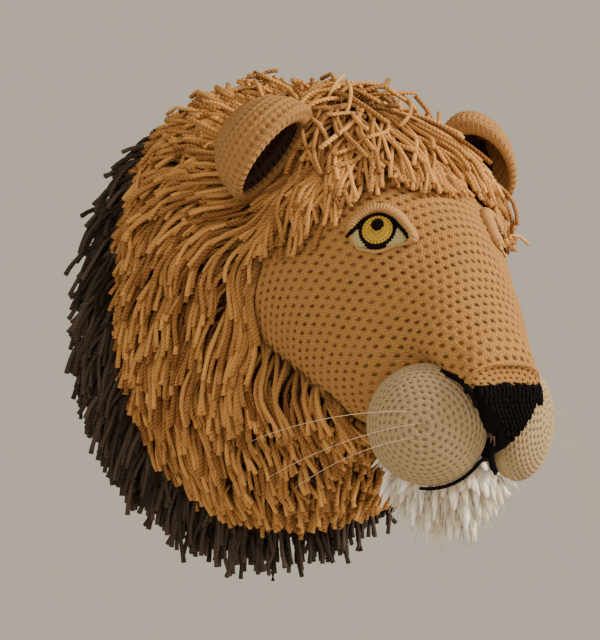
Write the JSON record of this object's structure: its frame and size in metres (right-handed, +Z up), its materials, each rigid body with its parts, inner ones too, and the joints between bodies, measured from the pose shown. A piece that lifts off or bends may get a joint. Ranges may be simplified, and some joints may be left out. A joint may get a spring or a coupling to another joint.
{
  "type": "crocheted lion head wall trophy",
  "caption": "Stuffed crocheted lion head with layered yarn mane, forelock and beard, flat at the back to hang on a wall.",
  "frame": {"origin": "on the wall plane, in the middle of the head's flat back", "axes": "+Z up, +Y into the wall, the lion looks along -Y, its right side is -X"},
  "size_m": [0.419, 0.4033, 0.453],
  "materials": {
    "camel_crochet": "camel yarn, crocheted",
    "camel_mane": "camel yarn, cut strands",
    "dark_mane": "dark brown yarn, cut strands",
    "greige_crochet": "greige yarn, crocheted",
    "cream_yarn": "cream yarn, cut strands",
    "black_crochet": "black yarn, crocheted",
    "yellow_crochet": "yellow yarn, crocheted",
    "pale_crochet": "pale yarn, crocheted",
    "lining_crochet": "dark brown yarn, crocheted",
    "whisker_filament": "pale thin filament"
  },
  "bodies": {
    "root": {"beard": "cream_yarn", "ear_left": "camel_crochet", "ear_lining_left": "lining_crochet", "ear_lining_right": "lining_crochet", "ear_right": "camel_crochet", "eye_edge_left": "black_crochet", "eye_edge_right": "black_crochet", "eye_white_left": "pale_crochet", "eye_white_right": "pale_crochet", "eyelids_left": "camel_crochet", "eyelids_right": "camel_crochet", "forelock": "camel_mane", "head": "camel_crochet", "iris_left": "yellow_crochet", "iris_right": "yellow_crochet", "mane_back": "dark_mane", "mane_front": "camel_mane", "mouth": "black_crochet", "muzzle_pad_left": "greige_crochet", "muzzle_pad_right": "greige_crochet", "nose": "black_crochet", "pupil_left": "black_crochet", "pupil_right": "black_crochet", "whisker_left_1": "whisker_filament", "whisker_left_2": "whisker_filament", "whisker_left_3": "whisker_filament", "whisker_right_1": "whisker_filament", "whisker_right_2": "whisker_filament", "whisker_right_3": "whisker_filament"}
  },
  "joints": []
}
